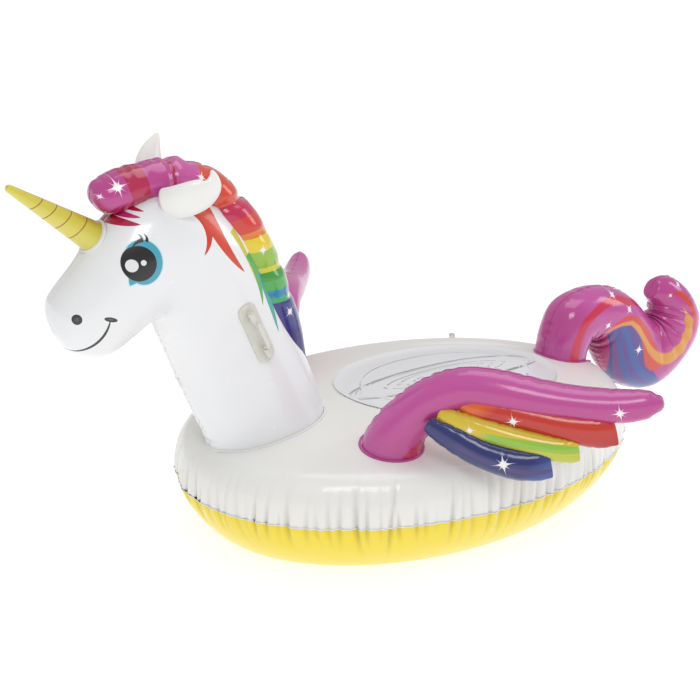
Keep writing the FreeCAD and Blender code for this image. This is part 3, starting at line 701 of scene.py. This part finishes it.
def headPrint(paint):
    x, y, z = paint.axes()
    tone = whiteTone(paint)
    printed = [      # colour and mask, from the bottom layer up
        (colours["irisRim"], ellipse(x, z, -0.738, 0.739, 0.0400, 0.0470)),
        (colours["irisRim"], stroke(x, z, (-0.740, 0.736), (-0.755, 0.717), (-0.7720, 0.6935), 0.0280)),
        (colours["iris"], ellipse(x, z, -0.738, 0.739, 0.0375, 0.0445)),
        (colours["iris"], stroke(x, z, (-0.740, 0.737), (-0.755, 0.718), (-0.7695, 0.6965), 0.0260)),
        (colours["ink"], ellipse(x, z, -0.7475, 0.7375, 0.0345, 0.0350)),
        (colours["glint"], ellipse(x, z, -0.762, 0.735, 0.0125, 0.0125)),
        (colours["glint"], ellipse(x, z, -0.739, 0.739, 0.0056, 0.0056, soft=0.12)),
        (colours["ink"], stroke(x, z, (-0.7365, 0.780), (-0.7350, 0.788), (-0.7400, 0.7945), 0.0032)),
        (colours["ink"], stroke(x, z, (-0.7270, 0.779), (-0.7255, 0.788), (-0.7300, 0.7950), 0.0034)),
        (colours["ink"], stroke(x, z, (-0.7340, 0.7830), (-0.7450, 0.7790), (-0.7560, 0.7700), 0.0042)),
        ((0.030, 0.032, 0.028), ellipse(x, z, -0.874, 0.636, 0.0095, 0.0105)),
        ((0.075, 0.075, 0.070), ellipse(x, z, -0.8745, 0.6365, 0.0040, 0.0048, soft=0.5)),
        (colours["softInk"], ellipse(x, z, -0.8105, 0.6295, 0.0135, 0.0050, -17)),
        ((0.11, 0.11, 0.09), ellipse(x, z, -0.8110, 0.6300, 0.0055, 0.0018, -17, soft=0.5)),
        (colours["softInk"],
         stroke(x, z, (-0.812, 0.628), (-0.840, 0.5805), (-0.884, 0.562), 0.0030, "both")),
        (colours["crimson"], stroke(x, z, (-0.800, 0.826), (-0.762, 0.816), (-0.730, 0.8105), 0.0135)),
        ((0.50, 0.02, 0.16), stroke(x, z, (-0.785, 0.842), (-0.752, 0.829), (-0.725, 0.8230), 0.0110)),
        (colours["crimson"], stroke(x, z, (-0.770, 0.856), (-0.740, 0.842), (-0.715, 0.8330), 0.0110)),
        ((0.62, 0.045, 0.025), stroke(x, z, (-0.610, 0.830), (-0.588, 0.775), (-0.606, 0.735), 0.0150)),
        ((0.66, 0.055, 0.025), stroke(x, z, (-0.590, 0.835), (-0.555, 0.750), (-0.506, 0.682), 0.0190)),
        ((0.60, 0.56, 0.05), stroke(x, z, (-0.524, 0.772), (-0.492, 0.708), (-0.468, 0.640), 0.0075)),
        ((0.09, 0.42, 0.06), stroke(x, z, (-0.486, 0.718), (-0.465, 0.655), (-0.460, 0.598), 0.0125)),
        ((0.04, 0.40, 0.36), stroke(x, z, (-0.456, 0.672), (-0.436, 0.600), (-0.419, 0.528), 0.0130)),
    ]
    for colour, mask in printed:
        tone = paint.mix(tone, colour, mask)
    paint.link("Base Color", tone)
    return paint


def whiteTone(paint):
    # the white film is a touch cooler or warmer from place to place
    return paint.mix(colours["white"], (0.83, 0.845, 0.87), paint.noise(3.0, 2.0).step(0.55, 0.35))


def bands(paint, value, stops):
    made = paint.node("ShaderNodeValToRGB", {"stops": stops}, (value,), "Color")
    made.socket.node.color_ramp.interpolation = "CONSTANT"
    return made


def manePrint(paint, length):
    along, lift = paint.attribute("along"), paint.attribute("lift")
    x, y, z = paint.axes()
    sloped = along + lift * 0.022 * along.step(0.26, 0.04) + (paint.noise(7.0, 1.0) - 0.5) * 0.010
    pink, crimson = (0.50, 0.055, 0.27), (0.45, 0.012, 0.075)
    runs = [
        (0.0, pink), (0.062, crimson), (0.104, pink), (0.158, crimson), (0.166, (0.56, 0.09, 0.33)),
        (0.216, (0.66, 0.06, 0.025)), (0.298, (0.55, 0.015, 0.08)), (0.336, (0.64, 0.045, 0.03)),
        (0.372, (0.76, 0.20, 0.02)), (0.388, (0.80, 0.62, 0.03)), (0.421, (0.30, 0.52, 0.045)),
        (0.462, (0.66, 0.60, 0.03)), (0.476, (0.05, 0.33, 0.05)), (0.498, (0.07, 0.42, 0.08)),
        (0.521, (0.02, 0.26, 0.46)), (0.541, (0.05, 0.40, 0.14)), (0.553, (0.030, 0.035, 0.22)),
        (0.640, (0.045, 0.035, 0.20)),
    ]
    tone = bands(paint, sloped / length, [(place / length, colour) for place, colour in runs])
    under = lift.step(0.45, 0.2) * (1 - along.step(0.115, 0.01))
    tone = paint.mix(tone, (0.38, 0.008, 0.07), under)
    stripe = abs(lift - 0.35 - along * 0.2).maths("LESS_THAN", 0.09) * along.step(0.56, 0.02)
    tone = paint.mix(tone, (0.06, 0.09, 0.34), stripe)
    tone = stars(paint, tone, x, z, [
        (-0.762, 0.885, 0.024), (-0.776, 0.826, 0.014), (-0.579, 0.885, 0.016), (-0.451, 0.718, 0.017),
        (-0.377, 0.600, 0.014), (-0.382, 0.566, 0.019), (-0.795, 0.868, 0.010)])
    paint.link("Base Color", tone)
    return paint


def tailPrint(paint, length):
    along, lift = paint.attribute("along"), paint.attribute("lift")
    x, y, z = paint.axes()
    run = along / length
    height = (lift + 1) * 0.5

    def stripe(points, soft=0.03):
        # a stripe that runs along the tail: points are (along, middle lift, half width)
        middle = profile(run, [(a / length, (m + 1) / 2) for a, m, w in points])
        wide = profile(run, [(a / length, w / 2) for a, m, w in points])
        return ((wide - abs(height - middle)) / soft + 0.5).clamp() * wide.maths("GREATER_THAN", 0.003)

    blueFrom = [(0.190, 1.0, 0), (0.215, 0.70, 0), (0.262, 0.10, 0), (0.300, -0.14, 0), (0.370, -0.14, 0),
                (0.432, 0.15, 0), (0.470, 0.30, 0), (0.505, 0.60, 0), (0.530, 1.0, 0)]
    below = (height - profile(run, [(a / length, (m + 1) / 2) for a, m, w in blueFrom])).step(0.0, 0.02)
    flow = height + (along - 0.30) * -1.1
    blues = bands(paint, flow, [
        (0.0, (0.10, 0.05, 0.28)), (0.46, (0.10, 0.05, 0.28)), (0.53, (0.045, 0.10, 0.36)),
        (0.63, (0.10, 0.055, 0.30)), (0.70, (0.050, 0.085, 0.33)), (0.78, (0.15, 0.045, 0.25)),
        (0.86, (0.05, 0.05, 0.26)), (0.90, (0.40, 0.025, 0.16))])
    tone = paint.mix((0.50, 0.055, 0.28), (0.56, 0.09, 0.36), paint.noise(6.0, 1.0).step(0.5, 0.3))
    tone = paint.mix(tone, blues, below)
    stripes = [      # colour, then along, middle lift and half width at each point
        ((0.62, 0.02, 0.075), [
            (0.0, -0.15, 0.22), (0.055, -0.2, 0.19), (0.1, -0.22, 0.15), (0.15, -0.3, 0.14),
            (0.195, -0.5, 0.14), (0.237, -0.66, 0.13), (0.266, -0.68, 0.13), (0.292, -0.76, 0.08),
            (0.34, -0.95, 0.0)]),
        ((0.64, 0.035, 0.025), [
            (0.225, 0.22, 0.0), (0.24, 0.12, 0.05), (0.27, -0.18, 0.11), (0.316, -0.38, 0.12),
            (0.37, -0.4, 0.14), (0.448, -0.22, 0.08), (0.47, -0.15, 0.0)]),
        ((0.64, 0.055, 0.025), [
            (0.36, -0.12, 0.0), (0.384, -0.08, 0.05), (0.404, -0.03, 0.09), (0.432, 0.1, 0.14),
            (0.461, 0.18, 0.14), (0.495, 0.14, 0.04), (0.51, 0.1, 0.0)]),
        ((0.64, 0.045, 0.025), [
            (0.6, 0.38, 0.0), (0.634, 0.3, 0.04), (0.675, 0.2, 0.11), (0.714, 0.2, 0.17),
            (0.749, 0.18, 0.18), (0.771, -0.08, 0.03), (0.79, -0.1, 0.0)]),
        ((0.72, 0.3, 0.035), [
            (0.195, 0.7, 0.0), (0.213, 0.5, 0.05), (0.262, 0.05, 0.05), (0.295, -0.19, 0.06),
            (0.333, -0.24, 0.08), (0.376, -0.2, 0.07), (0.44, -0.12, 0.1), (0.48, -0.05, 0.13),
            (0.52, 0.03, 0.16), (0.573, 0.1, 0.19), (0.617, 0.02, 0.18), (0.658, -0.08, 0.17),
            (0.678, -0.15, 0.06), (0.7, -0.2, 0.0)]),
    ]
    for colour, points in stripes:
        tone = paint.mix(tone, colour, stripe(points))
    tone = stars(paint, tone, x, z, [
        (0.654, 0.429, 0.019), (0.705, 0.383, 0.021), (0.621, 0.352, 0.019), (0.745, 0.260, 0.022),
        (0.932, 0.411, 0.016), (0.894, 0.386, 0.010)])
    paint.link("Base Color", tone)
    return paint


def wingPlane(paint):
    # distance out along the wing, the same on both sides, and height
    x, y, z = paint.axes()
    heading, root = wing["heading"], wing["root"]
    return (x - root[0] * mm) * heading[0] - (abs(y) + root[1] * mm) * heading[1], z


def sparPrint(paint):
    along, lift = paint.attribute("along"), paint.attribute("lift")
    u, v = wingPlane(paint)
    # lighter pink towards the top of the spar: painted light over the printed pink
    tone = paint.mix((0.49, 0.050, 0.255), (0.56, 0.085, 0.35), (lift * -1).step(0.1, 1.2))
    patch = (lift - along * 6 - 0.16).step(0.0, 0.03) * (1 - along.step(0.135, 0.006))
    lines = ((along * 210 + lift * 2).maths("SINE")).step(0.86, 0.08)
    tone = paint.mix(tone, (0.50, 0.010, 0.085), patch)
    tone = paint.mix(tone, (0.30, 0.010, 0.05), patch * lines * 0.6)
    paint.link("Base Color", stars(paint, tone, u, v, [(0.493, 0.431, 0.021)]))
    return paint


def featherPrint(paint, colour):
    along, lift = paint.attribute("along"), paint.attribute("lift")
    u, v = wingPlane(paint)
    if colour == "red":
        # darker red towards the lower side of the feather: painted shade over the printed red
        tone = paint.mix((0.60, 0.035, 0.018), (0.46, 0.012, 0.012), lift.step(0.1, 1.2))
        tone = paint.mix(tone, (0.74, 0.13, 0.02), 1 - (along + lift * 0.03).step(0.06, 0.04))
        spots = [(0.276, 0.388, 0.021)]
    elif colour == "yellow":
        wave = lift - (along * 17).maths("SINE") * 0.22 + 0.10
        tone = paint.mix((0.72, 0.53, 0.035), (0.30, 0.55, 0.05), (0.34 - abs(wave)).step(0.0, 0.06)
                         * along.step(0.11, 0.03))
        tone = paint.mix(tone, (0.52, 0.56, 0.05), wave.step(0.42, 0.1) * along.step(0.10, 0.05))
        spots = [(0.187, 0.362, 0.016)]
    else:
        wave = lift + (along * 12).maths("SINE") * 0.15
        tone = paint.mix((0.018, 0.024, 0.150), (0.035, 0.085, 0.32), (along + wave * 0.02).step(0.26, 0.05))
        tone = paint.mix(tone, (0.06, 0.035, 0.17),
                         (0.16 - abs(wave - 0.2)).step(0.0, 0.05) * along.step(0.07, 0.03))
        spots = [(0.266, 0.304, 0.027)]
    paint.link("Base Color", stars(paint, tone, u, v, spots))
    return paint


def hornPrint(paint):
    along = paint.attribute("along")
    side, lift = paint.attribute("side"), paint.attribute("lift")
    tone = paint.mix((0.62, 0.52, 0.04), (0.74, 0.66, 0.12), lift.step(0.0, 1.6))
    bowed = along - lift * 0.006
    mask = None
    for place in (0.078, 0.112, 0.144, 0.175):
        line = (0.0011 - abs(bowed - place)).step(0.0, 0.0007)
        mask = line if mask is None else mask.maths("MAXIMUM", line)
    paint.link("Base Color", paint.mix(tone, (0.30, 0.13, 0.02), mask))
    return paint


pinkPaint = sparPrint(vinyl("sparVinyl"))
hornPaint = hornPrint(vinyl("hornVinyl", Roughness=0.32))
headPaint = headPrint(vinyl("headVinyl"))
manePaint = manePrint(vinyl("maneVinyl", Roughness=0.18), float(read(mane, "along").max()))
tailPaint = tailPrint(vinyl("tailVinyl", Roughness=0.18), float(read(tail, "along").max()))
featherPaints = {colour: featherPrint(vinyl(colour + "FeatherVinyl", Roughness=0.18), colour)
                 for colour in feathers}
featherSlots = {"red": "red_film", "yellow": "lime_film", "blue": "navy_film"}
def bendPoint(hand, distance):
    heading = Vector(wing["heading"])
    slant = math.radians(30)
    place = Vector(wing["root"]) + heading * (distance * math.cos(slant)) + up * (distance * math.sin(slant))
    return (place.x * mm, place.y * mm * (1 if hand == "left" else -1), place.z * mm)


seamPaint = vinyl("pinkSeamVinyl", (0.40, 0.035, 0.22), ripple=0.1, Roughness=0.22)
for hand in ("left", "right"):
    for seam in sparSeams:
        seam = seam if hand == "left" else mirrored(seam, seam.name.replace("left", "right"))
        dress(seam, seamPaint, "pink_film", None)
        bendPoint(hand, 205)
        bendPoint(hand, 240)
        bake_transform(seam)
    film = spar if hand == "left" else mirrored(spar, "wing_right_spar_film")
    dress(film, pinkPaint, "pink_film", None, f"wing_{hand}_root", f"wing_{hand}_spar")
    bendPoint(hand, 205)
    bendPoint(hand, 240)
    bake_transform(film)
    for colour, feather in feathers.items():
        film = feather if hand == "left" else mirrored(feather, f"wing_right_{colour}_film")
        dress(film, featherPaints[colour], featherSlots[colour], f"wing_{hand}",
              f"wing_{hand}_{colour}_feather")
dress(tail, tailPaint, "tail_film", None,
      *(f"tail_{hand}_{piece}" for piece in ("root", "panel") for hand in ("left", "right")))
for seam in tailSeams:
    dress(seam, seamPaint, "tail_film", None)
for film in (tail, *tailSeams):
    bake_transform(film)
dress(maneSeam, manePaint, "mane_film", "float")
dress(head, headPaint, "white_film", "float", "head_left_panel", "head_right_panel")
dress(mane, manePaint, "mane_film", "float", "mane_left_panel", "mane_right_panel")
dress(hornFilm, hornPaint, "horn_film", "float", "horn_cone")
for hand, film in earFilms.items():
    dress(film, whitePaint, "white_film", "float", f"ear_{hand}")

# ---- pieces kept from the frame: beads, webs, handles and valves
milky = vinyl("milkyVinyl", (0.86, 0.855, 0.78), ripple=0.1, Roughness=0.3, Transmission_Weight=0.25)
pinkWeld = vinyl("pinkWeldVinyl", (0.50, 0.06, 0.30), ripple=0.1, Roughness=0.3)
for name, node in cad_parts.items():
    if "handle" in name or "valve" in name:
        paint = milky
    elif name.startswith("wing") or name.startswith("tail"):
        paint = pinkWeld
    else:
        paint = weldPaint
    node.data.materials.clear()
    node.data.materials.append(paint.material)

# ---- stage, light and camera
deselect()
bpy.ops.mesh.primitive_plane_add(size=90, location=(0, 0, -0.0006))
floor = bpy.context.object
floor.name = "floor"
floorPaint = Paint("paleFloor", Base_Color=(0.42, 0.42, 0.42, 1), Roughness=0.9, Emission_Color=(1, 1, 1, 1),
                   Emission_Strength=0.80)
floor.data.materials.append(floorPaint.material)

world = bpy.data.worlds.new("studio")
bpy.context.scene.world = world
world.use_nodes = True
sky = world.node_tree.nodes["Background"]
seen = world.node_tree.nodes.new("ShaderNodeLightPath")
glow = world.node_tree.nodes.new("ShaderNodeMapRange")
glow.inputs["To Min"].default_value, glow.inputs["To Max"].default_value = 0.52, 1.0
world.node_tree.links.new(seen.outputs["Is Camera Ray"], glow.inputs["Value"])
world.node_tree.links.new(glow.outputs["Result"], sky.inputs["Strength"])
sky.inputs["Color"].default_value = (1.0, 1.0, 1.0, 1)


def softbox(name, place, target, wide, high, power):
    deselect()
    bpy.ops.object.light_add(type="AREA", location=place)
    lamp = bpy.context.object
    lamp.name = name
    lamp.data.shape, lamp.data.size, lamp.data.size_y, lamp.data.energy = "RECTANGLE", wide, high, power
    lamp.rotation_euler = (Vector(target) - Vector(place)).to_track_quat("-Z", "Y").to_euler()


softbox("key", (-1.6, -2.4, 3.2), (0, 0, 0.3), 1.6, 1.2, 30)
softbox("top", (0.4, 0.2, 3.4), (0, 0, 0.2), 2.4, 1.8, 22)
softbox("rim", (2.8, -1.2, 1.9), (0.3, 0, 0.3), 0.9, 1.8, 16)

azimuth, elevation, distance = math.radians(-33.908), math.radians(19.339), 2.795
backward = Vector((math.sin(azimuth) * math.cos(elevation), -math.cos(azimuth) * math.cos(elevation),
                   math.sin(elevation)))
bpy.ops.object.camera_add(location=Vector((-0.18, 0, 0.418)) + backward * distance)
camera = bpy.context.object
camera.rotation_euler = (-backward).to_track_quat("-Z", "Y").to_euler()
camera.data.lens, camera.data.sensor_width = 60, 36
bpy.context.scene.camera = camera
bpy.context.scene.view_settings.view_transform = "Standard"
